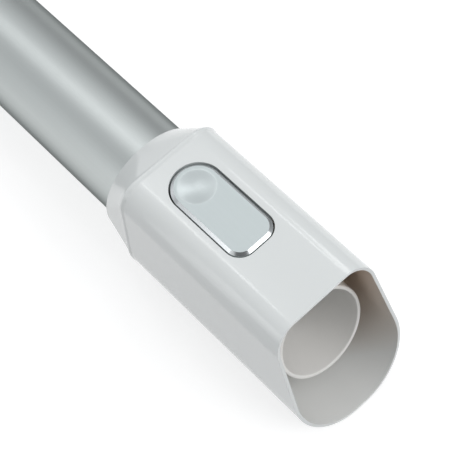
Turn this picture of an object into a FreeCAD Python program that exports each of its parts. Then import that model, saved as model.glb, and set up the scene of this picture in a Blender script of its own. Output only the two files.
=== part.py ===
import FreeCAD, Part
import math
import os

os.makedirs("parts", exist_ok=True)

# Telescopic vacuum cleaner wand, in millimetres.
# X runs along the wand and points out of the coupling's mouth, Z is up (the button's side).
# The origin is on the tubes' axis, at the end of the spigot.

V = FreeCAD.Vector
ALONG = V(1, 0, 0)
ACROSS = V(0, 1, 0)
UP = V(0, 0, 1)

# Fits
running_gap = 0.05          # radial, between faces that slide or turn on each other
seat_gap = 0.04             # radial, between pieces pushed together for good
free_gap = 0.3              # between moving pieces that must never touch

# Tubes
outer_tube_radius = 17.5
outer_tube_wall = 0.8
outer_tube_length = 422.0
guide_wall = 1.25           # of the bushes between the tubes
inner_tube_wall = 0.8
tool_end_swell = 0.6        # the plain end that takes a floor tool is swaged wider
tool_end_length = 48.0
inner_tube_show = 70.0      # stands out of the collar when pushed in
stroke = 360.0
notch_pitch = 30.0
groove_half_width = 4.0
groove_depth = 1.7
notch_depth = 1.6           # below the groove's floor
parked_gap = 12.0           # left between inner tube and spigot liner when pushed in
piston_length = 24.0
seal_length = 4.0

# Housings: coupling shell and collar
belly = 10.0                # the housings' lowest line, below the outer tube
housing_draft = 4.75        # degrees, the sides lean in towards the top

# Coupling shell
shell_side = 4.0            # its half width beyond the outer tube
latch_room = 8.5            # its top above the outer tube
shell_top_radius = 9.0
shell_bottom_radius = 20.0
shell_wall = 2.0
neck_shoulder = 4.0         # solid wall between the cavity and the flare
neck_length = 11.8          # of the flare from the shell down to the round neck
neck_wall = 1.9
neck_flat = 0.3             # short flats keep the neck's outline in step with the shell's
flare_sections = 4
flare_hollow = 1.3          # how hollow the flare's cheeks are, 1 being straight
cavity_margin = 1.93        # behind the button's hole
mouth_reach = 10.1          # from the spigot's end to the mouth, on the axis
mouth_slant = 16.5          # degrees, the lower lip reaches further out
lip_chamfer = 0.5

# Spigot liner
spigot_radius = 16.0
spigot_wall = 1.6
spigot_length = 38.0
bulkhead_thickness = 3.0
plug_length = 17.0
ledge_length = 7.2
ledge_half_width = 4.5
ledge_thickness = 0.8

# Release button
hole_half_width = 8.77
hole_rear_centre = -51.3
hole_front = -23.2
hole_corner = 5.7
button_side_gap = 0.4
button_rear_gap = 0.6
button_proud = 0.5
button_thickness = 2.5
bevel_width = 1.3
bevel_height = 1.0
dimple_radius = 5.75
dimple_depth = 0.9

# Latch lever, its pin and spring
pivot_reach = 7.0           # from the bulkhead
pivot_rise = 0.7            # above the lever's underside
pivot_radius = 1.5
boss_wall = 1.1
ear_thickness = 2.2
lever_thickness = 3.7
lever_inset = 0.3           # inside the button's outline
arm_half_width = 5.0
arm_step = 1.1              # of the arm's underside below the lever's
arm_thickness = 2.3
hook_setback = 6.5          # of the hook's tip behind the spigot's end
hook_length = 5.0
hook_gap = 1.0              # above the spigot
lever_spring_radius = 2.0
lever_spring_wire = 0.5
lever_spring_turns = 3.5
lever_spring_pocket = 2.7   # depth in the lever

# Lock collar
collar_side = 5.0           # its half width beyond the outer tube
collar_top_radius = 9.0
collar_bottom_radius = 12.0
collar_chamfer = 4.0        # at both ends
collar_grip = 35.0          # the length of outer tube inside the collar
bush_length = 30.0
pawl_setback = 7.0          # of the pawl's middle behind the guide bush
pawl_back = 15.0            # from there to the collar body's end
cap_length = 12.0
cover_thickness = 2.0
cover_front_margin = 9.0
cover_back_margin = 2.0
wiper_length = 5.0
wiper_depth = 2.4

# Lock slider, pawl and spring
chamber_wall = 1.1          # between the outer tube and the slider's chamber
chamber_depth = 8.4
chamber_half_width = 6.4
slider_travel = 8.0
slider_plate = 1.7
slider_spring_length = 18.0
slider_spring_radius = 1.9
slider_spring_wire = 0.6
slider_spring_turns = 6.0
cheek_thickness = 2.0
cheek_margin = 1.7
lug_thickness = 2.0
grip_length = 22.0
grip_setback = 2.4
grip_half_width = 5.2
grip_height = 3.0           # above the collar's cover
grip_scoop = 1.2
grip_ridges = 4
grip_ridge = 0.6            # half a ridge's width, and its height
pawl_half_length = 4.2
pawl_half_width = 3.0
pawl_lift = 2.2
pawl_chamfer = 0.8
pawl_crown = 1.7            # above the pin's axis
pawl_pin_radius = 0.9
pawl_pin_rise = 2.0         # above the chamber's floor
coil_steps = 6              # straight lengths of wire in each turn of a spring
coil_sides = 6

# Radii and heights that follow from those sizes
outer_bore = outer_tube_radius - outer_tube_wall
inner_tube_radius = outer_bore - running_gap - guide_wall
inner_bore = inner_tube_radius - inner_tube_wall
groove_floor = inner_tube_radius - groove_depth
notch_floor = groove_floor - notch_depth
neck_radius = outer_tube_radius + neck_wall
spigot_bore = spigot_radius - spigot_wall
bottom = -outer_tube_radius - belly
shell_top = outer_tube_radius + latch_room
button_top = shell_top + button_proud
lever_top = button_top - button_thickness
lever_bottom = lever_top - lever_thickness
pivot_z = lever_bottom + pivot_rise
boss_radius = pivot_radius + boss_wall
ledge_top = outer_tube_radius + ledge_thickness
ear_inside = hole_half_width - button_side_gap + free_gap
ear_outside = ear_inside + ear_thickness
chamber_floor = outer_tube_radius + chamber_wall
cover_floor = chamber_floor + chamber_depth
collar_top = cover_floor + cover_thickness
plate_top = cover_floor - free_gap
plate_bottom = plate_top - slider_plate
pawl_pin_z = chamber_floor + pawl_pin_rise

# Places along the wand that follow from those sizes
slant = math.tan(math.radians(mouth_slant))
bulkhead_front = -spigot_length
tube_seat = bulkhead_front - bulkhead_thickness
plug_end = tube_seat - plug_length
pivot_x = bulkhead_front + pivot_reach
lever_spring_x = tube_seat - ledge_length / 2
cavity_back = hole_rear_centre - hole_half_width - cavity_margin
shoulder_x = cavity_back - neck_shoulder
outer_tube_end = tube_seat - outer_tube_length
collar_front = outer_tube_end + collar_grip
bush_end = outer_tube_end - bush_length
pawl_x = bush_end - pawl_setback
collar_back = pawl_x - pawl_back
cap_back = collar_back - cap_length
cover_front = collar_front - cover_front_margin
cover_back = collar_back + cover_back_margin
slider_back = cover_back + free_gap
cheek_front = pawl_x + pawl_half_length + cheek_margin
lug_front = cheek_front + lug_thickness
chamber_front = lug_front + slider_spring_length
slider_front = chamber_front - slider_travel - free_gap
grip_back = slider_back + grip_setback
grip_front = grip_back + grip_length
inner_tube_top = plug_end - parked_gap
inner_tube_end = cap_back - inner_tube_show


def save(name, shape):
    """Write one piece to its STEP file."""
    shape.exportStep("parts/" + name + ".step")


def rod(radius, x_from, x_to):
    """A cylinder on the wand's axis."""
    return Part.makeCylinder(radius, x_to - x_from, V(x_from, 0, 0), ALONG)


def pipe(radius, bore, x_from, x_to):
    """A round tube on the wand's axis."""
    return rod(radius, x_from, x_to).cut(rod(bore, x_from, x_to))


def block(x_from, x_to, half_width, z_from, z_to):
    """A box that straddles the middle plane."""
    return Part.makeBox(x_to - x_from, 2 * half_width, z_to - z_from, V(x_from, -half_width, z_from))


def cross_pin(radius, x, z, y_from, y_to):
    """A cylinder across the wand."""
    return Part.makeCylinder(radius, y_to - y_from, V(x, y_from, z), ACROSS)


def plate(points, half_width):
    """A side outline in X and Z, extruded across the middle plane."""
    corners = [V(x, -half_width, z) for x, z in points]
    face = Part.Face(Part.makePolygon(corners + corners[:1]))
    return face.extrude(V(0, 2 * half_width, 0))


def form(half_width, top, low, top_radius, bottom_radius, draft=0.0):
    """The sizes of a housing's cross-section."""
    return dict(half_width=half_width, top=top, low=low, top_radius=top_radius,
                bottom_radius=bottom_radius, draft=draft)


def inset(outer, depth):
    """The parallel section that lies the given depth inside another."""
    return form(outer["half_width"] - depth, outer["top"] - depth, outer["low"] + depth,
                outer["top_radius"] - depth, outer["bottom_radius"] - depth, outer["draft"])


def mixed(first, second, share):
    """A section between two others."""
    return {key: first[key] + (second[key] - first[key]) * share for key in first}


def outline(section, x):
    """The closed outline of a section: flat top, leaning sides, round corners and a short flat below."""
    lean = math.radians(section["draft"])
    low_r = section["bottom_radius"]
    top_r = section["top_radius"]
    low_y = section["half_width"] - low_r
    low_z = section["low"] + low_r
    top_z = section["top"] - top_r
    reach = low_y * math.cos(lean) + (low_z - top_z) * math.sin(lean) + low_r - top_r
    top_y = reach / math.cos(lean)

    def top_point(angle, side):
        return V(x, side * (top_y + top_r * math.cos(angle)), top_z + top_r * math.sin(angle))

    def low_point(angle, side):
        return V(x, side * (low_y + low_r * math.cos(angle)), low_z + low_r * math.sin(angle))

    def line(start, end):
        return Part.LineSegment(start, end).toShape()

    up = math.pi / 2
    top_turn = [up, (up + lean) / 2, lean]
    low_turn = [lean, (lean - up) / 2, -up]
    return Part.Wire([
        line(top_point(up, -1), top_point(up, 1)),
        Part.Arc(*[top_point(angle, 1) for angle in top_turn]).toShape(),
        line(top_point(lean, 1), low_point(lean, 1)),
        Part.Arc(*[low_point(angle, 1) for angle in low_turn]).toShape(),
        line(low_point(-up, 1), low_point(-up, -1)),
        Part.Arc(*[low_point(angle, -1) for angle in reversed(low_turn)]).toShape(),
        line(low_point(lean, -1), top_point(lean, -1)),
        Part.Arc(*[top_point(angle, -1) for angle in reversed(top_turn)]).toShape()])


def prism(section, x_from, x_to):
    """A section extruded along the wand."""
    return Part.Face(outline(section, x_from)).extrude(V(x_to - x_from, 0, 0))


neck_form = form(neck_radius, neck_radius, -neck_radius,
                 neck_radius - neck_flat, neck_radius - neck_flat, housing_draft)
shell_form = form(outer_tube_radius + shell_side, shell_top, bottom,
                  shell_top_radius, shell_bottom_radius, housing_draft)
collar_form = form(outer_tube_radius + collar_side, collar_top, bottom,
                   collar_top_radius, collar_bottom_radius, housing_draft)


def flare(x_from, x_to):
    """A hollow-cheeked flare from the shell's shoulder down to the round neck."""
    wires = []
    for step in range(flare_sections):
        along = step / (flare_sections - 1)
        share = 1 - (1 - along) ** flare_hollow
        wires.append(outline(mixed(shell_form, neck_form, share), x_from + (x_to - x_from) * along))
    faces = [Part.Face(wires[0]), Part.Face(wires[-1])]
    for wide, narrow in zip(wires, wires[1:]):
        for pair in zip(wide.OrderedEdges, narrow.OrderedEdges):
            strip = Part.makeRuledSurface(*pair)
            if isinstance(pair[0].Curve, Part.Line):
                corners = [vertex.Point for vertex in strip.OuterWire.OrderedVertexes]
                strip = Part.Face(Part.makePolygon(corners + corners[:1]))
            faces.append(strip)
    skin = Part.makeShell(faces)
    skin.sewShape()
    return Part.makeSolid(skin)


def past_slant(x_on_axis):
    """Everything beyond a plane that leans like the mouth."""
    reach = -3 * bottom
    foot = (x_on_axis + slant * reach, -reach)
    head = (x_on_axis - slant * reach, reach)
    return plate([foot, (4 * reach, -reach), (4 * reach, reach), head], reach)


def edges_at(shape, x_on_axis, lean=0.0):
    """The edges that lie in a plane across the wand, upright or leaning like the mouth."""
    found = []
    for edge in shape.Edges:
        middle = edge.valueAt((edge.FirstParameter + edge.LastParameter) / 2)
        points = [vertex.Point for vertex in edge.Vertexes] + [middle]
        if all(abs(point.x + lean * point.z - x_on_axis) < seat_gap for point in points):
            found.append(edge)
    return found


def button_outline(side_gap, rear_gap, z):
    """The button's outline: half round at the tubes' end, square at the front with round corners."""
    half = hole_half_width - side_gap
    centre = hole_rear_centre + rear_gap - side_gap
    front = hole_front - side_gap
    corner = hole_corner - side_gap
    turn = corner * math.sqrt(0.5)
    turn_x = front - corner
    turn_y = half - corner

    def line(start, end):
        return Part.LineSegment(V(*start, z), V(*end, z)).toShape()

    def arc(start, middle, end):
        return Part.Arc(V(*start, z), V(*middle, z), V(*end, z)).toShape()

    return Part.Wire([
        line((centre, half), (turn_x, half)),
        arc((turn_x, half), (turn_x + turn, turn_y + turn), (front, turn_y)),
        line((front, turn_y), (front, -turn_y)),
        arc((front, -turn_y), (turn_x + turn, -turn_y - turn), (turn_x, -half)),
        line((turn_x, -half), (centre, -half)),
        arc((centre, -half), (centre - half, 0), (centre, half))])


def button_block(depth, z_from, z_to):
    """The button's outline, drawn in by a depth and extruded upwards."""
    face = Part.Face(button_outline(button_side_gap + depth, button_rear_gap + depth, z_from))
    return face.extrude(V(0, 0, z_to - z_from))


def coil(radius, wire, length, turns, place, direction):
    """A compression spring that starts at a place, wound from short straight lengths of wire."""
    steps = round(turns * coil_steps)
    sections = []
    for step in range(steps + 1):
        turn = 2 * math.pi * turns * step / steps
        outwards = V(math.cos(turn), math.sin(turn), 0)
        centre = outwards * radius + UP * (wire / 2 + (length - wire) * step / steps)
        corners = []
        for side in range(coil_sides + 1):
            round_wire = 2 * math.pi * side / coil_sides
            reach = outwards * math.sin(round_wire) + UP * math.cos(round_wire)
            corners.append(centre + reach * (wire / 2))
        sections.append(Part.makePolygon(corners))
    spring = Part.makeLoft(sections, True, True)
    spring.Placement = FreeCAD.Placement(place, FreeCAD.Rotation(UP, direction))
    return spring


def keyed_ring(radius, bore, x_from, x_to):
    """A ring round the inner tube with a key that runs in the tube's groove."""
    key = block(x_from, x_to, groove_half_width - free_gap, groove_floor + free_gap, bore + free_gap)
    return pipe(radius, bore, x_from, x_to).fuse(key).removeSplitter()


def coupling_shell():
    """One moulding with the slanted mouth, the button's hole and the neck on the outer tube."""
    reach = mouth_reach - 2 * slant * bottom
    neck_end = shoulder_x - neck_length
    body = prism(shell_form, shoulder_x, reach).fuse(flare(shoulder_x, neck_end))
    body = body.cut(prism(inset(shell_form, shell_wall), cavity_back, reach))
    body = body.cut(rod(outer_tube_radius + seat_gap, neck_end, cavity_back))
    body = body.cut(past_slant(mouth_reach))
    body = body.makeChamfer(lip_chamfer, edges_at(body, mouth_reach, slant))
    hole = Part.Face(button_outline(0, 0, shell_top - 2 * shell_wall))
    return body.cut(hole.extrude(V(0, 0, 3 * shell_wall)))


def spigot_liner():
    """Spigot, bulkhead that closes the shell's cavity, lever ears, spring ledge and tube plug."""
    body = rod(spigot_radius, bulkhead_front, spigot_radius).cut(past_slant(0))
    bulkhead = prism(inset(shell_form, shell_wall + seat_gap), tube_seat, bulkhead_front)
    bulkhead = bulkhead.cut(block(tube_seat, bulkhead_front, ear_inside, ledge_top, shell_top))
    ledge = block(tube_seat - ledge_length, tube_seat, ledge_half_width,
                  outer_tube_radius + seat_gap, ledge_top)
    body = body.fuse([bulkhead, rod(outer_bore - seat_gap, plug_end, tube_seat), ledge])
    for low_y in (-ear_outside, ear_inside):
        ear = cross_pin(boss_radius, pivot_x, pivot_z, low_y, low_y + ear_thickness)
        web = Part.makeBox(pivot_x - bulkhead_front, ear_thickness, 2 * boss_radius,
                           V(bulkhead_front, low_y, pivot_z - boss_radius))
        body = body.fuse([ear, web])
    body = body.cut(cross_pin(pivot_radius + seat_gap, pivot_x, pivot_z, -ear_outside, ear_outside))
    return body.cut(rod(spigot_bore, plug_end, spigot_radius)).removeSplitter()


def release_button():
    """A bevelled metal plate with a finger dimple, bonded to the lever."""
    bevel_foot = button_top - bevel_height
    body = button_block(0, lever_top, bevel_foot)
    foot = button_outline(button_side_gap, button_rear_gap, bevel_foot)
    face = button_outline(button_side_gap + bevel_width, button_rear_gap + bevel_width, button_top)
    body = body.fuse(Part.makeLoft([foot, face], True, True))
    ball = (dimple_radius ** 2 + dimple_depth ** 2) / (2 * dimple_depth)
    centre = V(hole_rear_centre, 0, button_top - dimple_depth + ball)
    return body.cut(Part.makeSphere(ball, centre, ACROSS))


def latch_lever():
    """Rocker under the button: pad, pivot boss, and an arm with the hook over the spigot."""
    half_width = hole_half_width - button_side_gap - lever_inset
    body = button_block(lever_inset, lever_bottom, lever_top)
    arm_bottom = lever_bottom - arm_step
    arm_top = arm_bottom + arm_thickness
    hook_bottom = spigot_radius + hook_gap
    hook_tip = -hook_setback
    hook_back = hook_tip - hook_length
    hook_nose = hook_tip - hook_length / 2
    arm = plate([(pivot_x, arm_bottom), (hook_back, arm_bottom), (hook_back, hook_bottom),
                 (hook_nose, hook_bottom), (hook_tip, arm_bottom), (hook_tip, arm_top),
                 (pivot_x, arm_top)], arm_half_width)
    boss = cross_pin(boss_radius, pivot_x, pivot_z, -half_width, half_width)
    body = body.fuse([arm, boss])
    body = body.cut(cross_pin(pivot_radius + running_gap, pivot_x, pivot_z, -ear_inside, ear_inside))
    pocket = Part.makeCylinder(lever_spring_radius + lever_spring_wire + free_gap, lever_spring_pocket,
                               V(lever_spring_x, 0, lever_bottom), UP)
    return body.cut(pocket).removeSplitter()


def lever_pin():
    """Steel pin that the lever rocks on, held in the liner's ears."""
    return cross_pin(pivot_radius, pivot_x, pivot_z, -ear_outside, ear_outside)


def lever_spring():
    """Return spring between the liner's ledge and the lever's pocket."""
    length = lever_bottom + lever_spring_pocket - ledge_top
    return coil(lever_spring_radius, lever_spring_wire, length, lever_spring_turns,
                V(lever_spring_x, 0, ledge_top), UP)


def outer_tube():
    """Drawn aluminium tube, seated against the liner's bulkhead."""
    return pipe(outer_tube_radius, outer_bore, outer_tube_end, tube_seat)


def inner_tube():
    """Roll-formed aluminium tube with a groove on top, a row of lock notches and a plain end."""
    end_start = inner_tube_end + tool_end_length
    body = rod(inner_tube_radius, end_start, inner_tube_top)
    body = body.cut(block(end_start, inner_tube_top, groove_half_width, groove_floor, inner_tube_radius))
    body = body.fuse(rod(inner_tube_radius + tool_end_swell, inner_tube_end, end_start))
    bore = rod(inner_bore, inner_tube_end, inner_tube_top)
    bore = bore.fuse(rod(inner_bore + tool_end_swell, inner_tube_end, end_start - inner_tube_wall))
    groove_back = groove_half_width + inner_tube_wall
    bore = bore.cut(block(end_start - inner_tube_wall, inner_tube_top, groove_back,
                          groove_floor - inner_tube_wall, inner_tube_radius))
    half_length = pawl_half_length + free_gap
    half_width = pawl_half_width + free_gap
    for notch in range(int(stroke / notch_pitch) + 1):
        x = pawl_x + notch * notch_pitch
        body = body.cut(block(x - half_length, x + half_length, half_width, notch_floor, inner_bore))
        bore = bore.cut(block(x - half_length - inner_tube_wall, x + half_length + inner_tube_wall,
                              half_width + inner_tube_wall, notch_floor - inner_tube_wall, inner_bore))
    return body.cut(bore).removeSplitter()


def piston_bush():
    """Moulded guide on the inner tube's upper end that slides in the outer tube."""
    front = inner_tube_top - seal_length
    return keyed_ring(outer_bore - running_gap, inner_tube_radius + seat_gap, front - piston_length, front)


def piston_seal():
    """Soft cuff on the inner tube's upper end, in front of the piston bush."""
    return keyed_ring(outer_bore - running_gap / 2, inner_tube_radius + seat_gap,
                      inner_tube_top - seal_length, inner_tube_top)


def guide_bush():
    """Moulded bush in the collar that guides the inner tube and stops the piston."""
    return keyed_ring(outer_tube_radius, inner_tube_radius + running_gap, bush_end, outer_tube_end)


def collar_body():
    """Moulding clamped on the outer tube's end, with the slider's chamber on top."""
    half_width = collar_form["half_width"]
    body = prism(collar_form, collar_back, collar_front)
    body = body.makeChamfer(collar_chamfer, edges_at(body, collar_front))
    body = body.cut(block(cover_back, cover_front, half_width, cover_floor, collar_top))
    body = body.cut(block(cover_back, chamber_front, chamber_half_width, chamber_floor, collar_top))
    body = body.cut(rod(outer_tube_radius + seat_gap, bush_end, collar_front))
    body = body.cut(rod(inner_tube_radius + free_gap, collar_back, bush_end))
    reach = pawl_half_length + free_gap
    slot = block(pawl_x - reach, pawl_x + reach, pawl_half_width + free_gap, 0, chamber_floor)
    return body.cut(slot).removeSplitter()


def collar_cover():
    """Top of the collar, with the slider's window."""
    half_width = collar_form["half_width"]
    body = prism(collar_form, cover_back, cover_front)
    body = body.common(block(cover_back, cover_front, half_width, cover_floor, collar_top))
    return body.cut(block(grip_back - free_gap, grip_front + slider_travel + free_gap,
                          grip_half_width + free_gap, cover_floor, collar_top))


def end_cap():
    """Rear end of the collar, snapped on, which traps the wiper ring."""
    body = prism(collar_form, cap_back, collar_back)
    body = body.makeChamfer(collar_chamfer, edges_at(body, cap_back))
    body = body.cut(rod(inner_tube_radius + free_gap, cap_back, collar_back))
    seat = rod(inner_tube_radius + wiper_depth, collar_back - wiper_length, collar_back)
    return body.cut(seat).removeSplitter()


def wiper_ring():
    """Felt ring that wipes the inner tube."""
    return keyed_ring(inner_tube_radius + wiper_depth - seat_gap, inner_tube_radius + running_gap,
                      collar_back - wiper_length, collar_back)


def pawl_slot(radius, half_width):
    """The slanting way of the pawl's pin through the slider's cheeks."""
    end_x = pawl_x - slider_travel
    end_z = pawl_pin_z + pawl_lift
    length = math.hypot(slider_travel, pawl_lift)
    side_x = radius * pawl_lift / length
    side_z = radius * slider_travel / length
    middle = plate([(pawl_x + side_x, pawl_pin_z + side_z), (end_x + side_x, end_z + side_z),
                    (end_x - side_x, end_z - side_z), (pawl_x - side_x, pawl_pin_z - side_z)],
                   half_width)
    return middle.fuse([cross_pin(radius, pawl_x, pawl_pin_z, -half_width, half_width),
                        cross_pin(radius, end_x, end_z, -half_width, half_width)])


def lock_slider():
    """Thumb slide with two slotted cheeks that lift the pawl, and a lug for its spring."""
    low = chamber_floor + free_gap
    half = chamber_half_width - free_gap
    body = block(slider_back, slider_front, half, plate_bottom, plate_top)
    cheeks = block(slider_back, lug_front, half, low, plate_bottom)
    cheeks = cheeks.cut(block(slider_back, cheek_front, half - cheek_thickness, low, plate_bottom))
    cheeks = cheeks.cut(pawl_slot(pawl_pin_radius + free_gap, half))
    grip_top = collar_top + grip_height
    grip = block(grip_back, grip_front, grip_half_width, plate_top, grip_top)
    scoop_radius = (grip_length ** 2 / 4 + grip_scoop ** 2) / (2 * grip_scoop)
    middle = (grip_back + grip_front) / 2
    scoop_z = grip_top - grip_scoop + scoop_radius
    grip = grip.cut(cross_pin(scoop_radius, middle, scoop_z, -grip_half_width, grip_half_width))
    for ridge in range(grip_ridges):
        x = grip_back + (ridge + 1) * grip_length / (grip_ridges + 1)
        z = scoop_z - math.sqrt(scoop_radius ** 2 - (x - middle) ** 2)
        grip = grip.fuse(plate([(x - grip_ridge, z - grip_ridge), (x + grip_ridge, z - grip_ridge),
                                (x, z + grip_ridge)], grip_half_width))
    return body.fuse([cheeks, grip]).removeSplitter()


def lock_pawl():
    """Steel pawl that drops into the inner tube's notches."""
    back = pawl_x - pawl_half_length
    front = pawl_x + pawl_half_length
    tip = notch_floor + free_gap
    cheek = tip + pawl_chamfer
    top = pawl_pin_z + pawl_crown
    body = plate([(back, top), (back, cheek), (back + pawl_chamfer, tip),
                  (front - pawl_chamfer, tip), (front, cheek), (front, top)], pawl_half_width)
    return body.cut(cross_pin(pawl_pin_radius + seat_gap, pawl_x, pawl_pin_z,
                              -pawl_half_width, pawl_half_width))


def pawl_pin():
    """Cross pin of the pawl that rides in the slider's slots."""
    reach = chamber_half_width - free_gap
    return cross_pin(pawl_pin_radius, pawl_x, pawl_pin_z, -reach, reach)


def slider_spring():
    """Spring that pushes the slider back to its locked end."""
    z = (chamber_floor + plate_bottom) / 2
    return coil(slider_spring_radius, slider_spring_wire, slider_spring_length,
                slider_spring_turns, V(lug_front, 0, z), ALONG)


for piece in (coupling_shell, spigot_liner, release_button, latch_lever, lever_pin, lever_spring,
              outer_tube, inner_tube, piston_bush, piston_seal, guide_bush, collar_body, collar_cover,
              end_cap, wiper_ring, lock_slider, lock_pawl, pawl_pin, slider_spring):
    save(piece.__name__, piece())
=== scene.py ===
import math
import bmesh
import bpy
from mathutils import Matrix, Vector


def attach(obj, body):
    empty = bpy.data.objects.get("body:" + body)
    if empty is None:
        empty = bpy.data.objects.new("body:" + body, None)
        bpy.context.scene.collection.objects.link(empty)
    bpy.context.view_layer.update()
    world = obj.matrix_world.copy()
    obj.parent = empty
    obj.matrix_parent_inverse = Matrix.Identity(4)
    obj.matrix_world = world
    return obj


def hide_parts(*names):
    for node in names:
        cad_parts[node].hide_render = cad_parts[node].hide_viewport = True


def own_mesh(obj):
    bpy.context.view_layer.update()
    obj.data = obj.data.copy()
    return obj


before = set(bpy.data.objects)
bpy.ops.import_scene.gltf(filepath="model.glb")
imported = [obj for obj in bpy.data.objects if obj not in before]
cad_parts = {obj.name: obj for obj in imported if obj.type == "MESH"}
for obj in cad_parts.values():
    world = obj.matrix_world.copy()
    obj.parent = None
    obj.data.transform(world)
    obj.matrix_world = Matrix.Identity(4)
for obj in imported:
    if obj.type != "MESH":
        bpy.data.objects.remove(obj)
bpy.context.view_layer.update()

# OUTER TUBE
# Drawn aluminium tube, satin anodised, with a fine grain along its length.
# It is pushed onto the plug of the spigot moulding and held by the coupling's neck.


def turned(profile, steps):
    """A ring of (x, radius) corners, turned about the wand's axis."""
    bm = bmesh.new()
    corners = [bm.verts.new((x, 0, radius)) for x, radius in profile]
    sides = [bm.edges.new((corners[i - 1], corners[i])) for i in range(len(corners))]
    bmesh.ops.spin(bm, geom=corners + sides, cent=(0, 0, 0), axis=(1, 0, 0),
                   angle=2 * math.pi, steps=steps, use_merge=True)
    bmesh.ops.recalc_face_normals(bm, faces=bm.faces)
    return bm


millimetre = 0.001


def piece(bm, name, materials, body, slot, *nodes):
    """Turn a mesh that is modelled in millimetres into a piece of the wand."""
    bmesh.ops.scale(bm, vec=(millimetre,) * 3, verts=bm.verts)
    mesh = bpy.data.meshes.new(name)
    bm.to_mesh(mesh)
    bm.free()
    for material in materials:
        mesh.materials.append(material)
    mesh.polygons.foreach_set("use_smooth", [True] * len(mesh.polygons))
    made = bpy.data.objects.new(name, mesh)
    bpy.context.collection.objects.link(made)
    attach(made, body)
    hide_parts(*nodes)
    return made


def soften(made, width, sharpest=35.0, segments=3):
    """Round a piece's edges and even out the shading of its flats."""
    edges = made.modifiers.new("soft_edges", "BEVEL")
    edges.width = width * millimetre
    edges.segments = segments
    edges.limit_method = "ANGLE"
    edges.angle_limit = math.radians(sharpest)
    flats = made.modifiers.new("even_flats", "WEIGHTED_NORMAL")
    flats.keep_sharp = True


def effect(name, inputs, outputs):
    """An empty shader group with its sockets."""
    group = bpy.data.node_groups.new(name, "ShaderNodeTree")
    for label, kind, value in inputs:
        group.interface.new_socket(label, in_out="INPUT", socket_type=kind).default_value = value
    for label, kind in outputs:
        group.interface.new_socket(label, in_out="OUTPUT", socket_type=kind)
    return group, group.nodes.new("NodeGroupInput"), group.nodes.new("NodeGroupOutput")


def two_tone(group, mask, given, result):
    """Mix the group's two colours and two roughnesses by a mask."""
    tone = group.nodes.new("ShaderNodeMix")
    tone.data_type = "RGBA"
    group.links.new(mask, tone.inputs["Factor"])
    group.links.new(given.outputs["Light"], tone.inputs["A"])
    group.links.new(given.outputs["Dark"], tone.inputs["B"])
    group.links.new(tone.outputs["Result"], result.inputs["Color"])
    spread = group.nodes.new("ShaderNodeMapRange")
    group.links.new(mask, spread.inputs["Value"])
    group.links.new(given.outputs["Smooth"], spread.inputs["To Min"])
    group.links.new(given.outputs["Rough"], spread.inputs["To Max"])
    group.links.new(spread.outputs["Result"], result.inputs["Roughness"])
    group.links.new(mask, result.inputs["Height"])


surface_inputs = [("Light", "NodeSocketColor", (0.8, 0.8, 0.8, 1)),
                  ("Dark", "NodeSocketColor", (0.7, 0.7, 0.7, 1)),
                  ("Smooth", "NodeSocketFloat", 0.3), ("Rough", "NodeSocketFloat", 0.4),
                  ("Fineness", "NodeSocketFloat", 1.0)]
surface_outputs = [("Color", "NodeSocketColor"), ("Roughness", "NodeSocketFloat"),
                   ("Height", "NodeSocketFloat")]

# Long fine lines that drawing leaves along a metal tube or bar.
grain_scale = (9.0, 1400.0, 1400.0)
drawn_grain, given, result = effect("drawn_grain", surface_inputs, surface_outputs)
place = drawn_grain.nodes.new("ShaderNodeTexCoord")
stretch = drawn_grain.nodes.new("ShaderNodeMapping")
stretch.inputs["Scale"].default_value = grain_scale
lines = drawn_grain.nodes.new("ShaderNodeTexNoise")
lines.inputs["Detail"].default_value = 4.0
drawn_grain.links.new(place.outputs["Object"], stretch.inputs["Vector"])
drawn_grain.links.new(stretch.outputs["Vector"], lines.inputs["Vector"])
drawn_grain.links.new(given.outputs["Fineness"], lines.inputs["Scale"])
two_tone(drawn_grain, lines.outputs["Fac"], given, result)

relief_height = 0.0001


def coated(name, group, light, dark, smooth, rough, fineness, relief):
    """A material whose colour, roughness and relief come from a shared effect."""
    material = bpy.data.materials.new(name)
    material.use_nodes = True
    nodes = material.node_tree.nodes
    links = material.node_tree.links
    shader = nodes["Principled BSDF"]
    surface = nodes.new("ShaderNodeGroup")
    surface.node_tree = group
    surface.inputs["Light"].default_value = (*light, 1)
    surface.inputs["Dark"].default_value = (*dark, 1)
    surface.inputs["Smooth"].default_value = smooth
    surface.inputs["Rough"].default_value = rough
    surface.inputs["Fineness"].default_value = fineness
    bump = nodes.new("ShaderNodeBump")
    bump.inputs["Strength"].default_value = relief
    bump.inputs["Distance"].default_value = relief_height
    links.new(surface.outputs["Color"], shader.inputs["Base Color"])
    links.new(surface.outputs["Roughness"], shader.inputs["Roughness"])
    links.new(surface.outputs["Height"], bump.inputs["Height"])
    links.new(bump.outputs["Normal"], shader.inputs["Normal"])
    return material, shader


anodised, shader = coated(
    "satin_anodised", drawn_grain, light=(0.545, 0.575, 0.57), dark=(0.515, 0.545, 0.54),
    smooth=0.36, rough=0.42, fineness=1.0, relief=0.05)
shader.inputs["Metallic"].default_value = 1.0
shader.inputs["Specular Tint"].default_value = (0.05, 0.05, 0.05, 1)

tube_radius = 17.5
tube_bore = 16.7
tube_seat = -41.0
tube_end = -463.0
round_steps = 128
tube = turned([(tube_seat, tube_radius), (tube_seat, tube_bore),
               (tube_end, tube_bore), (tube_end, tube_radius)], round_steps)
tube = piece(tube, "drawn_outer_tube", [anodised], "wand", "tube_aluminium", "outer_tube")
soften(tube, 0.15)

# SPIGOT MOULDING
# White plastic spigot that the hose handle slides over, moulded in one with the bulkhead behind it.
# Its plug sits in the outer tube, and two ears on the bulkhead hold the rocker's pin.


def stretched(bm, tip, target):
    """Carry a line on to a point."""
    tip = bmesh.ops.extrude_vert_indiv(bm, verts=[tip])["verts"][0]
    tip.co = target
    return tip


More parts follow.
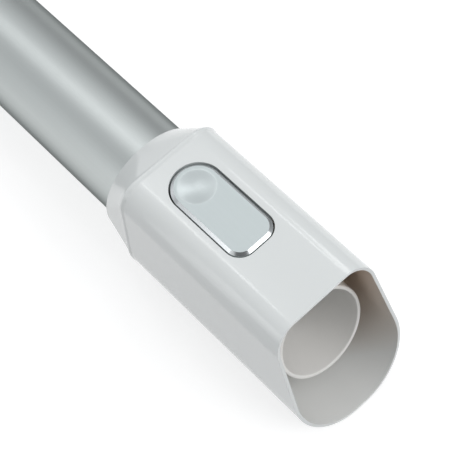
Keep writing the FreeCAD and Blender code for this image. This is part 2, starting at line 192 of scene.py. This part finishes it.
def swung(bm, tip, centre, axis, angle, steps):
    """Carry a line on round an arc."""
    arc = bmesh.ops.spin(bm, geom=[tip], cent=centre, axis=axis, angle=angle, steps=steps)
    return next(part for part in arc["geom_last"] if isinstance(part, bmesh.types.BMVert))


def mirrored(bm):
    """Close a half outline across the wand's middle plane."""
    bmesh.ops.mirror(bm, geom=bm.verts[:] + bm.edges[:], axis="Y", merge_dist=0.001)
    return bm


def joined(bm, other):
    """Add another mesh to this one."""
    carrier = bpy.data.meshes.new("carrier")
    other.to_mesh(carrier)
    other.free()
    bm.from_mesh(carrier)
    bpy.data.meshes.remove(carrier)


def housing_half(bm, tip, x, half_width, top, low, top_radius, low_radius, lean, steps):
    """Half a housing's outline, from a point on its flat top round the corner and down to the keel."""
    low_y = half_width - low_radius
    low_z = low + low_radius
    top_z = top - top_radius
    reach = low_y * math.cos(lean) + (low_z - top_z) * math.sin(lean) + low_radius - top_radius
    top_y = reach / math.cos(lean)
    tip = stretched(bm, tip, (x, top_y, top))
    tip = swung(bm, tip, (x, top_y, top_z), (1, 0, 0), lean - math.pi / 2, steps)
    tip = stretched(bm, tip, (x, low_y + low_radius * math.cos(lean), low_z + low_radius * math.sin(lean)))
    tip = swung(bm, tip, (x, low_y, low_z), (1, 0, 0), -lean - math.pi / 2, 2 * steps)
    stretched(bm, tip, (x, 0, low))
    return mirrored(bm)


def plate(outline, hole, depth):
    """A flat plate with a hole, from two closed outlines in one plane, carried back by a depth."""
    joined(outline, hole)
    filled = bmesh.ops.triangle_fill(outline, use_beauty=True, edges=outline.edges[:])
    faces = [part for part in filled["geom"] if isinstance(part, bmesh.types.BMFace)]
    back = bmesh.ops.extrude_face_region(outline, geom=faces, use_keep_orig=True)
    moved = [part for part in back["geom"] if isinstance(part, bmesh.types.BMVert)]
    bmesh.ops.translate(outline, vec=depth, verts=moved)
    bmesh.ops.recalc_face_normals(outline, faces=outline.faces)
    return outline


def ring(centre, axis, radius, steps):
    """A closed circle of edges about an axis."""
    bm = bmesh.new()
    turn = Vector((0, 0, 1)).rotation_difference(Vector(axis)).to_matrix().to_4x4()
    place = Matrix.Translation(centre) @ turn
    bmesh.ops.create_circle(bm, segments=steps, radius=radius, matrix=place)
    return bm


# Slight cloudiness of moulded plastic, with the fine unevenness of its skin.
clouds_per_metre = 60.0
moulded_skin, given, result = effect("moulded_skin", surface_inputs, surface_outputs)
place = moulded_skin.nodes.new("ShaderNodeTexCoord")
cloud = moulded_skin.nodes.new("ShaderNodeTexNoise")
cloud.inputs["Detail"].default_value = 3.0
spread = moulded_skin.nodes.new("ShaderNodeMath")
spread.operation = "MULTIPLY"
spread.inputs[1].default_value = clouds_per_metre
moulded_skin.links.new(given.outputs["Fineness"], spread.inputs[0])
moulded_skin.links.new(spread.outputs["Value"], cloud.inputs["Scale"])
moulded_skin.links.new(place.outputs["Object"], cloud.inputs["Vector"])
two_tone(moulded_skin, cloud.outputs["Fac"], given, result)

spigot_white, _ = coated(
    "spigot_white", moulded_skin, light=(0.83, 0.82, 0.80), dark=(0.80, 0.79, 0.765),
    smooth=0.30, rough=0.38, fineness=1.0, relief=0.04)

spigot_radius = 16.0
spigot_bore = 14.4
bore_draft = 0.45
draft_start = -30.0
spigot_front = 9.0
spigot_back = -39.0
plug_start = -40.0
plug_radius = 16.66
plug_end = -58.0
bulkhead_front = -38.0
mouth_lean = math.tan(math.radians(16.5))
spigot = turned([(spigot_front, spigot_radius), (spigot_back, spigot_radius), (plug_start, plug_radius),
                 (plug_end, plug_radius), (plug_end, spigot_bore), (draft_start, spigot_bore),
                 (spigot_front, spigot_bore + bore_draft)], round_steps)
bmesh.ops.bisect_plane(spigot, geom=spigot.verts[:] + spigot.edges[:] + spigot.faces[:], dist=0.0001,
                       plane_co=(0, 0, 0), plane_no=(1, 0, mouth_lean), clear_outer=True)
bmesh.ops.bridge_loops(spigot, edges=[edge for edge in spigot.edges if edge.is_boundary])

ledge_top = 18.3
ear_inside = 8.67
ear_thickness = 2.2
inner_top = 23.96
bulkhead_section = (19.46, inner_top, -25.46, 6.96, 17.96)
bulkhead_hole = 15.4
bulkhead_thickness = 3.0
housing_lean = math.radians(4.75)
bulkhead = bmesh.new()
tip = bulkhead.verts.new((bulkhead_front, 0, ledge_top))
tip = stretched(bulkhead, tip, (bulkhead_front, ear_inside, ledge_top))
tip = stretched(bulkhead, tip, (bulkhead_front, ear_inside, inner_top))
housing_half(bulkhead, tip, bulkhead_front, *bulkhead_section, housing_lean, steps=10)
hole = ring((bulkhead_front, 0, 0), (1, 0, 0), bulkhead_hole, steps=96)
joined(spigot, plate(bulkhead, hole, (-bulkhead_thickness, 0, 0)))

pivot = (-31.0, 0.0, 21.0)
pin_radius = 1.5
pin_gap = 0.04
ear_radius = 2.6
ear_root = bulkhead_front - 0.5
for side in (-ear_inside - ear_thickness, ear_inside):
    ear = bmesh.new()
    start = ear.verts.new((ear_root, side, pivot[2] - ear_radius))
    tip = stretched(ear, start, (pivot[0], side, pivot[2] - ear_radius))
    tip = swung(ear, tip, (pivot[0], side, pivot[2]), (0, -1, 0), math.pi, steps=16)
    tip = stretched(ear, tip, (ear_root, side, pivot[2] + ear_radius))
    ear.edges.new((tip, start))
    hole = ring((pivot[0], side, pivot[2]), (0, 1, 0), pin_radius + pin_gap, steps=32)
    joined(spigot, plate(ear, hole, (0, ear_thickness, 0)))

ledge_middle = (-44.35, 0, 17.92)
ledge_size = (7.7, 9.0, 0.76)
ledge = bmesh.new()
place = Matrix.Translation(ledge_middle) @ Matrix.Diagonal((*ledge_size, 1))
bmesh.ops.create_cube(ledge, size=1.0, matrix=place)
joined(spigot, ledge)
spigot = piece(spigot, "spigot_moulding", [spigot_white], "wand", "liner_plastic", "spigot_liner")
soften(spigot, 0.5)

# COUPLING SHELL
# Glossy cool-white moulding round the spigot, with a slanted mouth and a hole for the release button.
# A small rounded step at its back leads into a flare that comes down to the round neck on the tube.

shell_white, shader = coated(
    "shell_white", moulded_skin, light=(0.735, 0.76, 0.757), dark=(0.715, 0.74, 0.737),
    smooth=0.16, rough=0.22, fineness=1.0, relief=0.02)
shader.inputs["Coat Weight"].default_value = 0.3
shader.inputs["Coat Roughness"].default_value = 0.06
shell_inside, shader = coated(
    "shell_inside", moulded_skin, light=(0.75, 0.755, 0.74), dark=(0.73, 0.735, 0.72),
    smooth=0.4, rough=0.5, fineness=1.0, relief=0.03)

# Painted shade: deep inside towards the back, the right and the top, where the top wall shades the inside,
# the white is mixed towards a darker warm brown.
painted_shade_brown = (0.66, 0.50, 0.38, 1)
painted_shade_side = (-0.6, 0.55, 0.25)
nodes = shell_inside.node_tree.nodes
links = shell_inside.node_tree.links
place = nodes.new("ShaderNodeTexCoord")
along = nodes.new("ShaderNodeVectorMath")
along.operation = "DOT_PRODUCT"
along.inputs[1].default_value = painted_shade_side
depth = nodes.new("ShaderNodeMapRange")
depth.inputs["From Min"].default_value = -0.004
depth.inputs["From Max"].default_value = 0.017
shade = nodes.new("ShaderNodeMix")
shade.data_type = "RGBA"
shade.inputs["B"].default_value = painted_shade_brown
links.new(place.outputs["Object"], along.inputs[0])
links.new(along.outputs["Value"], depth.inputs["Value"])
links.new(depth.outputs["Result"], shade.inputs["Factor"])
links.new(shader.inputs["Base Color"].links[0].from_socket, shade.inputs["A"])
links.new(shade.outputs["Result"], shader.inputs["Base Color"])

# A section is half the width, the top, the keel, and the radii of the upper and lower corners.
shell_top = 26.0
shell_section = (21.5, shell_top, -27.5, 9.0, 20.0)
neck_section = (19.4, 19.4, -19.4, 19.1, 19.1)
neck_end = -77.8
# The bead is a row of places along the wand, each with its depth inside the shell's section.
bead_start = -64.4
bead = ((-64.8, 0.06), (-65.1, 0.03), (-65.4, -0.10), (-65.8, -0.22),
        (-66.2, -0.24), (-66.6, -0.12), (-66.85, 0.08), (-67.0, 0.30))
flare_rings = 10
flare_hollow = 1.05
mouth_reach = 9.0
shell_wall = 1.86
lip_share = 0.6
uncut_front = 24.0
hole_half_width = 8.77
hole_round_x = -51.3
hole_front = -23.2
hole_corner = 5.7
touch = 0.001


def outline(x, half_width, top, low, top_radius, low_radius):
    """A housing's whole outline at a place along the wand."""
    bm = bmesh.new()
    tip = bm.verts.new((x, 0, top))
    return housing_half(bm, tip, x, half_width, top, low, top_radius, low_radius, housing_lean, steps=14)


def drawn_in(section, depth):
    """The parallel section that lies a depth inside another."""
    half_width, top, low, top_radius, low_radius = section
    return half_width - depth, top - depth, low + depth, top_radius - depth, low_radius - depth


def numbered(bm):
    """Give each corner of an outline a number that its extruded copies keep."""
    number = bm.verts.layers.int.new("number")
    for index, corner in enumerate(bm.verts):
        corner[number] = index
    return number


def laid(bm, edges, number, line):
    """Carry a ring of edges on to an outline with the same corners, and return the new ring."""
    places = [corner.co.copy() for corner in line.verts]
    line.free()
    grown = bmesh.ops.extrude_edge_only(bm, edges=edges)["geom"]
    corners = {part for part in grown if isinstance(part, bmesh.types.BMVert)}
    for corner in corners:
        corner.co = places[corner[number]]
    lines = [part for part in grown if isinstance(part, bmesh.types.BMEdge)]
    return [line for line in lines if corners.issuperset(line.verts)]


def button_outline(z, gap):
    """The button's outline, a gap inside its hole: half round at the back, square in front."""
    half = hole_half_width - gap
    front = hole_front - gap
    corner = hole_corner - gap
    bm = bmesh.new()
    tip = bm.verts.new((hole_round_x - half, 0, z))
    tip = swung(bm, tip, (hole_round_x, 0, z), (0, 0, 1), -math.pi / 2, steps=24)
    tip = stretched(bm, tip, (front - corner, half, z))
    tip = swung(bm, tip, (front - corner, half - corner, z), (0, 0, 1), -math.pi / 2, steps=16)
    stretched(bm, tip, (front, 0, z))
    return mirrored(bm)


shell = outline(bead_start, *shell_section)
number = numbered(shell)
root = shell.edges[:]
laid(shell, root, number, outline(uncut_front, *shell_section))
edges = root
for flare_start, depth in bead:
    section = drawn_in(shell_section, depth)
    edges = laid(shell, edges, number, outline(flare_start, *section))
for step in range(1, flare_rings + 1):
    along = step / flare_rings
    share = 1 - (1 - along) ** flare_hollow
    mixed = [wide + (narrow - wide) * share for wide, narrow in zip(section, neck_section)]
    x = flare_start + (neck_end - flare_start) * along
    edges = laid(shell, edges, number, outline(x, *mixed))
bmesh.ops.bisect_plane(shell, geom=shell.verts[:] + shell.edges[:] + shell.faces[:], dist=0.0001,
                       plane_co=(mouth_reach, 0, 0), plane_no=(1, 0, mouth_lean), clear_outer=True)
bmesh.ops.recalc_face_normals(shell, faces=shell.faces)
flat = [face for face in shell.faces
        if all(corner.co.z > shell_top - touch and corner.co.x > bead_start - touch
               for corner in face.verts)]
bmesh.ops.delete(shell, geom=flat, context="FACES_ONLY")
middle = [edge for edge in shell.edges
          if not edge.link_faces and all(abs(corner.co.y) < touch for corner in edge.verts)]
bmesh.ops.delete(shell, geom=middle, context="EDGES")
joined(shell, button_outline(shell_top, 0.0))
rim = [edge for edge in shell.edges
       if len(edge.link_faces) < 2 and all(corner.co.z > shell_top - touch for corner in edge.verts)]
bmesh.ops.triangle_fill(shell, use_beauty=True, edges=rim, normal=(0, 0, 1))
bmesh.ops.recalc_face_normals(shell, faces=shell.faces)
lip = [corner.index for corner in shell.verts
       if abs(corner.co.x + mouth_lean * corner.co.z - mouth_reach) < 10 * touch]
shell = piece(shell, "shell_moulding", [shell_white, shell_inside], "wand", "shell_plastic",
              "coupling_shell")
thickness = shell.vertex_groups.new(name="thickness")
thickness.add(range(len(shell.data.vertices)), 1.0, "REPLACE")
thickness.add(lip, lip_share, "REPLACE")
wall = shell.modifiers.new("wall", "SOLIDIFY")
wall.thickness = shell_wall * millimetre
wall.offset = -1.0
wall.use_even_offset = True
wall.vertex_group = thickness.name
wall.material_offset = 1
soften(shell, 0.55, sharpest=50.0)

# RELEASE BUTTON
# Aluminium plate with a satin face, a bright-cut bevel round its edge and a shallow pressed finger dimple.
# It is bonded to the rocker below and stands half a millimetre proud of the shell.

satin_face, shader = coated(
    "satin_button_face", drawn_grain, light=(0.56, 0.615, 0.62), dark=(0.54, 0.595, 0.60),
    smooth=0.42, rough=0.48, fineness=1.6, relief=0.03)
shader.inputs["Metallic"].default_value = 0.4
# The dimple's colour is a touch lighter than the face's, painted light for the light it catches; its lower
# roughness is the smoother pressed finish.
lightened_dimple_face, shader = coated(
    "pressed_dimple_lightened", drawn_grain, light=(0.575, 0.625, 0.63), dark=(0.555, 0.605, 0.61),
    smooth=0.29, rough=0.35, fineness=1.6, relief=0.02)
shader.inputs["Metallic"].default_value = 0.4
bright_cut, shader = coated(
    "bright_cut_bevel", drawn_grain, light=(0.56, 0.58, 0.59), dark=(0.52, 0.54, 0.55),
    smooth=0.16, rough=0.22, fineness=2.0, relief=0.0)
shader.inputs["Metallic"].default_value = 1.0

button_top = 26.5
button_foot = 25.7
button_base = 24.0
bevel_width = 1.05
dimple_radius = 6.2
dimple_depth = 0.85
dimple_x = hole_round_x
bowl_rings = 14
bowl_steps = 72
bowl_curve = 1.35
button_gap = 0.5
button = button_outline(button_foot, button_gap)
number = numbered(button)
root = button.edges[:]
base = laid(button, root, number, button_outline(button_base, button_gap))
bmesh.ops.edgeloop_fill(button, edges=base)
before = set(button.faces)
rim = laid(button, root, number, button_outline(button_top, button_gap + bevel_width))
for face in set(button.faces) - before:
    face.material_index = 1
place = Matrix.Translation((dimple_x, 0, button_top))
circle = bmesh.ops.create_circle(button, segments=bowl_steps, radius=dimple_radius, matrix=place)["verts"]
for index, corner in enumerate(circle):
    corner[number] = index
edges = [edge for edge in button.edges if all(corner in circle for corner in edge.verts)]
bmesh.ops.triangle_fill(button, use_beauty=True, edges=rim + edges, normal=(0, 0, 1))
before = set(button.faces)
for step in range(1, bowl_rings):
    reach = 1 - step / bowl_rings
    depth = dimple_depth * (1 - reach ** 2) ** bowl_curve
    line = ring((dimple_x, 0, button_top - depth), (0, 0, 1), dimple_radius * reach, bowl_steps)
    edges = laid(button, edges, number, line)
bmesh.ops.edgeloop_fill(button, edges=edges)
for face in set(button.faces) - before:
    face.material_index = 2
bmesh.ops.recalc_face_normals(button, faces=button.faces)
button = piece(button, "button_plate", [satin_face, bright_cut, lightened_dimple_face], "lever", "button_aluminium",
               "release_button")
soften(button, 0.12, sharpest=25.0, segments=2)

# LATCH ROCKER
# Dull grey plastic rocker below the button, with an arm whose hook drops into the hose handle's socket.
# It rocks on a steel pin between the spigot moulding's ears, and a pocket below takes its spring.


def finished(node, name, material, body, slot, width):
    """A copy of a CAD solid with its facets joined and its edges softened."""
    bm = bmesh.new()
    bm.from_mesh(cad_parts[node].data)
    bmesh.ops.scale(bm, vec=(1 / millimetre,) * 3, verts=bm.verts)
    bmesh.ops.remove_doubles(bm, verts=bm.verts, dist=0.001)
    bmesh.ops.dissolve_limit(bm, angle_limit=math.radians(1.0), verts=bm.verts, edges=bm.edges)
    made = piece(bm, name, [material], body, slot, node)
    soften(made, width, sharpest=30.0)


dull_grey, _ = coated(
    "dull_grey_plastic", moulded_skin, light=(0.33, 0.34, 0.35), dark=(0.29, 0.30, 0.31),
    smooth=0.45, rough=0.6, fineness=2.0, relief=0.08)
finished("latch_lever", "latch_rocker", dull_grey, "lever", "inner_plastic", 0.3)

# ROCKER PIN AND SPRING
# Plain ground steel pin with broken ends, pushed through both ears and the rocker's boss.
# Behind it a short spring of round wire with closed ends holds the rocker up.


def placed(bm, spot, axis):
    """Turn a mesh that lies along X from the origin on to another axis, and move it to its place."""
    turn = Vector((1, 0, 0)).rotation_difference(Vector(axis)).to_matrix().to_4x4()
    bmesh.ops.transform(bm, matrix=Matrix.Translation(spot) @ turn, verts=bm.verts)
    return bm


def pin(radius, length, broken):
    """A round pin along X from the origin, with broken ends."""
    bm = bmesh.new()
    places = [(0, 0), (0, radius - broken), (broken, radius),
              (length - broken, radius), (length, radius - broken), (length, 0)]
    corners = [bm.verts.new((x, 0, reach)) for x, reach in places]
    sides = [bm.edges.new(pair) for pair in zip(corners, corners[1:])]
    bmesh.ops.spin(bm, geom=corners + sides, cent=(0, 0, 0), axis=(1, 0, 0),
                   angle=2 * math.pi, steps=40, use_merge=True)
    bmesh.ops.remove_doubles(bm, verts=bm.verts, dist=0.0001)
    bmesh.ops.recalc_face_normals(bm, faces=bm.faces)
    return bm


def coiled(radius, wire, length, turns, turn_steps=30):
    """A compression spring along X from the origin, with a closed turn at each end."""
    bm = bmesh.new()
    place = Matrix.Translation((wire / 2, 0, radius)) @ Matrix.Rotation(math.pi / 2, 4, "X")
    tip = bmesh.ops.create_circle(bm, segments=12, radius=wire / 2, matrix=place)["verts"] + bm.edges[:]
    working = turns - 2
    for run, advance in ((1, wire), (working, length - 3 * wire), (1, wire)):
        steps = round(turn_steps * run)
        tip = bmesh.ops.spin(bm, geom=tip, cent=(0, 0, 0), axis=(1, 0, 0), dvec=(advance / steps, 0, 0),
                             angle=2 * math.pi * run, steps=steps)["geom_last"]
    bmesh.ops.holes_fill(bm, edges=[edge for edge in bm.edges if edge.is_boundary])
    bmesh.ops.recalc_face_normals(bm, faces=bm.faces)
    return bm


bright_steel, shader = coated(
    "bright_steel", drawn_grain, light=(0.62, 0.62, 0.61), dark=(0.54, 0.54, 0.53),
    smooth=0.2, rough=0.32, fineness=2.0, relief=0.05)
shader.inputs["Metallic"].default_value = 1.0
pin_reach = ear_inside + ear_thickness
rocker_pin = pin(pin_radius, length=2 * pin_reach, broken=0.25)
rocker_pin = placed(rocker_pin, (pivot[0], -pin_reach, pivot[2]), (0, 1, 0))
piece(rocker_pin, "rocker_pin", [bright_steel], "wand", "steel", "lever_pin")

rocker_spring_x = -44.6
rocker_spring_length = 4.7
rocker_spring = coiled(radius=2.0, wire=0.5, length=rocker_spring_length, turns=3.5)
rocker_spring = placed(rocker_spring, (rocker_spring_x, 0, ledge_top), (0, 0, 1))
rocker_spring = piece(rocker_spring, "rocker_spring", [bright_steel], "wand", "steel", "lever_spring")
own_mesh(rocker_spring)

# INNER TUBE
# Roll-formed aluminium tube that slides in the outer one, satin anodised like it.
# A groove along its top keeps it from turning, pressed pockets in the groove take the pawl,
# and its plain end is swaged wider for the floor tool.

inner_radius = 15.4
inner_wall = 0.8
inner_start = -70.0
inner_end = -597.0
swage_start = -549.0
swage_run = 1.6
swage_radius = 16.0
groove_floor = 13.7
groove_half = 4.0
groove_corner = 0.6
groove_slant = 0.3
groove_steps = 6
pocket_half_width = 3.3
pocket_half_length = 4.5
pocket_depth = 1.6
pocket_pitch = 30.0
pocket_count = 13
pawl_x = -500.0


def grooved(x, radius=inner_radius, share=0.0):
    """The inner tube's outline, drawn towards a plain circle by a share."""
    bm = bmesh.new()
    foot = groove_half - groove_corner
    tip = bm.verts.new((x, 0, groove_floor))
    for step in range(1, groove_steps + 1):
        tip = stretched(bm, tip, (x, pocket_half_width * step / groove_steps, groove_floor))
    tip = stretched(bm, tip, (x, foot, groove_floor))
    tip = swung(bm, tip, (x, foot, groove_floor + groove_corner), (1, 0, 0), math.pi / 2, steps=4)
    rim = groove_half + groove_slant
    edge = math.asin(rim / inner_radius)
    tip = stretched(bm, tip, (x, rim, inner_radius * math.cos(edge)))
    swung(bm, tip, (x, 0, 0), (1, 0, 0), edge - math.pi, steps=64)
    mirrored(bm)
    for corner in bm.verts:
        plain = Vector((0, corner.co.y, corner.co.z))
        if plain.z > 0 and abs(plain.y) <= rim:
            plain.z = math.sqrt(inner_radius ** 2 - plain.y ** 2)
        plain = plain.normalized() * radius
        corner.co = corner.co.lerp(Vector((x, plain.y, plain.z)), share)
    return bm


inner = grooved(inner_start)
number = numbered(inner)
edges = inner.edges[:]
pockets = []
for step in reversed(range(pocket_count)):
    middle = pawl_x + step * pocket_pitch
    edges = laid(inner, edges, number, grooved(middle + pocket_half_length))
    before = set(inner.faces)
    edges = laid(inner, edges, number, grooved(middle - pocket_half_length))
    pockets += [face for face in set(inner.faces) - before
                if all(abs(corner.co.y) < pocket_half_width + 10 * touch and corner.co.z > 0
                       for corner in face.verts)]
for x, share in ((swage_start + swage_run, 0.0), (swage_start + swage_run / 2, 0.5),
                 (swage_start, 1.0), (inner_end, 1.0)):
    edges = laid(inner, edges, number, grooved(x, swage_radius, share))
grown = bmesh.ops.extrude_face_region(inner, geom=pockets)["geom"]
floor_corners = [part for part in grown if isinstance(part, bmesh.types.BMVert)]
bmesh.ops.translate(inner, vec=(0, 0, -pocket_depth), verts=floor_corners)
bmesh.ops.delete(inner, geom=[face for face in pockets if face.is_valid], context="FACES_ONLY")
bmesh.ops.recalc_face_normals(inner, faces=inner.faces)
inner = piece(inner, "inner_drawn_tube", [anodised], "inner", "tube_aluminium", "inner_tube")
wall = inner.modifiers.new("wall", "SOLIDIFY")
wall.thickness = inner_wall * millimetre
wall.offset = -1.0
soften(inner, 0.25, sharpest=40.0)

# PISTON AND GUIDE BUSH
# Grey moulded rings that carry the inner tube: the piston on its end and the bush in the collar.
# A black rubber cuff in front of the piston seals it against the outer tube.

black_rubber, _ = coated(
    "black_rubber", moulded_skin, light=(0.045, 0.045, 0.045), dark=(0.03, 0.03, 0.03),
    smooth=0.6, rough=0.75, fineness=4.0, relief=0.1)
finished("piston_bush", "piston_ring", dull_grey, "inner", "inner_plastic", 0.3)
finished("piston_seal", "piston_cuff", black_rubber, "inner", "seal_rubber", 0.25)
finished("guide_bush", "guide_ring", dull_grey, "wand", "inner_plastic", 0.3)

# LOCK COLLAR
# White housing clamped on the outer tube's end, in the same glossy plastic as the coupling.
# Its cover closes the chamber of the lock, and its rear end traps a felt ring that wipes the inner tube.

finished("collar_body", "collar_housing", shell_white, "wand", "shell_plastic", 0.8)
finished("collar_cover", "collar_lid", shell_white, "wand", "shell_plastic", 0.35)
finished("end_cap", "collar_end", shell_white, "wand", "shell_plastic", 0.8)
grey_felt, _ = coated(
    "grey_felt", moulded_skin, light=(0.32, 0.32, 0.32), dark=(0.22, 0.22, 0.22),
    smooth=0.9, rough=1.0, fineness=40.0, relief=0.6)
finished("wiper_ring", "felt_wiper", grey_felt, "wand", "felt", 0.4)

# LOCK SLIDE AND PAWL
# Silver-lacquered thumb slide with a scooped, ridged grip and two slotted cheeks below the cover.
# The cheeks lift a steel pawl by its cross pin out of the inner tube's pockets,
# and a spring of round wire brings the slide back.

silver_lacquer, shader = coated(
    "silver_lacquer", moulded_skin, light=(0.62, 0.66, 0.68), dark=(0.57, 0.61, 0.63),
    smooth=0.28, rough=0.36, fineness=8.0, relief=0.03)
shader.inputs["Metallic"].default_value = 0.5
finished("lock_slider", "thumb_slide", silver_lacquer, "slider", "silver_plastic", 0.25)
finished("lock_pawl", "steel_pawl", bright_steel, "pawl", "steel", 0.15)
pawl_pin_length = 12.2
pawl_pin_z = 20.6
pawl_pin = pin(radius=0.9, length=pawl_pin_length, broken=0.15)
pawl_pin = placed(pawl_pin, (pawl_x, -pawl_pin_length / 2, pawl_pin_z), (0, 1, 0))
piece(pawl_pin, "pawl_cross_pin", [bright_steel], "pawl", "steel", "pawl_pin")

slide_spring_end = -474.1
slide_spring_length = 18.0
slide_spring_z = 21.8
slide_spring = coiled(radius=1.9, wire=0.6, length=slide_spring_length, turns=10)
slide_spring = placed(slide_spring, (slide_spring_end - slide_spring_length, 0, slide_spring_z), (1, 0, 0))
slide_spring = piece(slide_spring, "slide_spring", [bright_steel], "wand", "steel", "slider_spring")
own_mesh(slide_spring)

# STUDIO
# White paper floor that the wand lies on, in a pale surround that is brighter above and behind on the left
# and dimmer in front of the mouth. Seven soft lamps stand round it: a key, a fill, a panel over the tube,
# and narrow panels whose reflections make the streaks along the shell's corners.

floor_z = -27.75
floor_half = 15000.0
floor_mesh = bmesh.new()
bmesh.ops.create_grid(floor_mesh, x_segments=1, y_segments=1, size=floor_half,
                      matrix=Matrix.Translation((0, 0, floor_z)))
bmesh.ops.scale(floor_mesh, vec=(millimetre,) * 3, verts=floor_mesh.verts)
mesh = bpy.data.meshes.new("studio_floor")
floor_mesh.to_mesh(mesh)
floor_mesh.free()
floor = bpy.data.objects.new("studio_floor", mesh)
bpy.context.collection.objects.link(floor)
paper = bpy.data.materials.new("white_paper")
paper.use_nodes = True
nodes = paper.node_tree.nodes
links = paper.node_tree.links
matt = nodes["Principled BSDF"]
matt.inputs["Roughness"].default_value = 0.9
matt.inputs["Specular IOR Level"].default_value = 0.1
matt.inputs["Base Color"].default_value = (0.5, 0.5, 0.5, 1)
glow = nodes.new("ShaderNodeEmission")
glow.inputs["Strength"].default_value = 0.66


def shown(nodes, links):
    """Whether a ray comes from the camera, or from a polished or clear surface."""
    ray = nodes.new("ShaderNodeLightPath")
    total = ray.outputs["Is Camera Ray"]
    for kind in ("Is Glossy Ray", "Is Transmission Ray"):
        both = nodes.new("ShaderNodeMath")
        both.operation = "MAXIMUM"
        links.new(total, both.inputs[0])
        links.new(ray.outputs[kind], both.inputs[1])
        total = both.outputs["Value"]
    return total


both = nodes.new("ShaderNodeAddShader")
pick = nodes.new("ShaderNodeMixShader")
links.new(matt.outputs["BSDF"], both.inputs[0])
links.new(glow.outputs["Emission"], both.inputs[1])
links.new(shown(nodes, links), pick.inputs["Fac"])
links.new(matt.outputs["BSDF"], pick.inputs[1])
links.new(both.outputs["Shader"], pick.inputs[2])
links.new(pick.outputs["Shader"], nodes["Material Output"].inputs["Surface"])
mesh.materials.append(paper)

world = bpy.data.worlds.new("pale_surround")
bpy.context.scene.world = world
world.use_nodes = True
nodes = world.node_tree.nodes
links = world.node_tree.links
surround = nodes["Background"]
surround.inputs["Color"].default_value = (0.97, 0.985, 1.0, 1)
direction = nodes.new("ShaderNodeTexCoord")


def ramp(towards, from_range, to_range):
    """A level that changes along a direction."""
    along = nodes.new("ShaderNodeVectorMath")
    along.operation = "DOT_PRODUCT"
    along.inputs[1].default_value = towards
    links.new(direction.outputs["Generated"], along.inputs[0])
    level = nodes.new("ShaderNodeMapRange")
    level.inputs["From Min"].default_value, level.inputs["From Max"].default_value = from_range
    level.inputs["To Min"].default_value, level.inputs["To Max"].default_value = to_range
    links.new(along.outputs["Value"], level.inputs["Value"])
    return level.outputs["Result"]


strength = ramp((0.0, -0.5, 1.0), (-0.45, 0.35), (0.3, 0.71))
front_shade = ramp((0.7, -0.7, 0.0), (0.25, 0.7), (1.0, 0.3))
rear_glow = ramp((-0.9, -0.43, 0.0), (0.85, 0.98), (1.0, 1.6))
for change in (front_shade, rear_glow):
    product = nodes.new("ShaderNodeMath")
    product.operation = "MULTIPLY"
    links.new(strength, product.inputs[0])
    links.new(change, product.inputs[1])
    strength = product.outputs["Value"]
links.new(strength, surround.inputs["Strength"])


def lamp(name, spot, aim, size, power):
    """A soft rectangular lamp that faces a point."""
    data = bpy.data.lights.new(name, "AREA")
    data.shape = "RECTANGLE"
    data.size, data.size_y = size
    data.energy = power
    made = bpy.data.objects.new(name, data)
    made.location = spot
    made.rotation_euler = (Vector(aim) - Vector(spot)).to_track_quat("-Z", "Y").to_euler()
    bpy.context.collection.objects.link(made)


lamp("key_panel", (0.9, 0.45, 0.75), (-0.03, 0, 0), (0.8, 0.8), 6.5)
lamp("right_panel", (-0.276, 0.495, 0.737), (-0.051, 0, 0.026), (0.12, 0.3), 0.42)
lamp("left_fill", (-0.1, -1.0, 0.5), (-0.03, 0, 0), (0.6, 0.5), 0.7)
lamp("tube_panel", (-0.875, 0.1, 1.0), (-0.875, 0.1, 0), (0.65, 0.5), 0.8)
lamp("left_strip", (-0.437, 0.145, 0.9), (-0.437, 0.145, 0), (0.225, 0.09), 0.28)
lamp("right_strip", (-0.43, 0.405, 0.9), (-0.43, 0.405, 0), (0.175, 0.09), 0.24)
lamp("left_panel", (-0.352, -0.72, 0.31), (-0.02, -0.015, 0.023), (0.11, 0.62), 0.36)

# CAMERA
# It looks down along the coupling from in front of the mouth, as the photograph does,
# with a long lens that was fitted to the edges of the shell, the spigot and the tube.

frame_pixels = 456.0
focal_pixels = 1406.0
camera_spot = (0.1339, -0.1053, 0.38933)
right = Vector((0.6724, 0.7327, -0.105)).normalized()
forward = Vector((-0.4074, 0.2479, -0.879))
forward = (forward - right * forward.dot(right)).normalized()
down = forward.cross(right)
turn = Matrix((right, -down, -forward)).transposed().to_4x4()
lens = bpy.data.cameras.new("camera")
lens.sensor_width = 36.0
lens.lens = focal_pixels / frame_pixels * lens.sensor_width
lens.clip_start = 0.01
camera = bpy.data.objects.new("camera", lens)
camera.matrix_world = Matrix.Translation(camera_spot) @ turn
bpy.context.collection.objects.link(camera)
bpy.context.scene.camera = camera
bpy.context.scene.view_settings.view_transform = "Standard"
